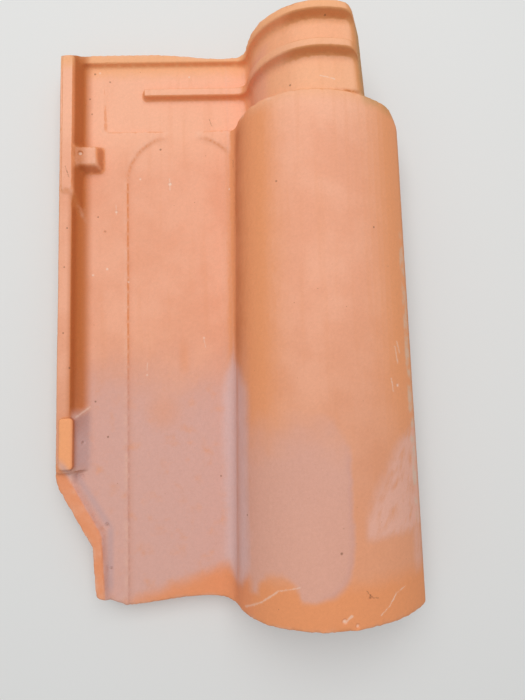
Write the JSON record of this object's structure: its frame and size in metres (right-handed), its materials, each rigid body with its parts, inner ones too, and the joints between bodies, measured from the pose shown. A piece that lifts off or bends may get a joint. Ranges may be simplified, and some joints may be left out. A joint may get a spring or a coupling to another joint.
{
  "type": "clay roof tile",
  "caption": "Interlocking S-shaped clay roof tile: flat water channel, barrel with a reduced ribbed neck, side lock rib and hanging nibs.",
  "frame": {"origin": "centre of the footprint at the lowest point, the bottom of the hanging nibs", "axes": "+X across the tile from the lock rib to the free edge of the barrel, +Y along the slope from the tail up to the head, +Z out of the pan, up"},
  "size_m": [0.2746, 0.44, 0.081],
  "materials": {
    "fired_clay": "unglazed fired clay, fine sandy grain, pale bloom"
  },
  "bodies": {
    "root": {"roof_tile": "fired_clay"}
  },
  "joints": []
}
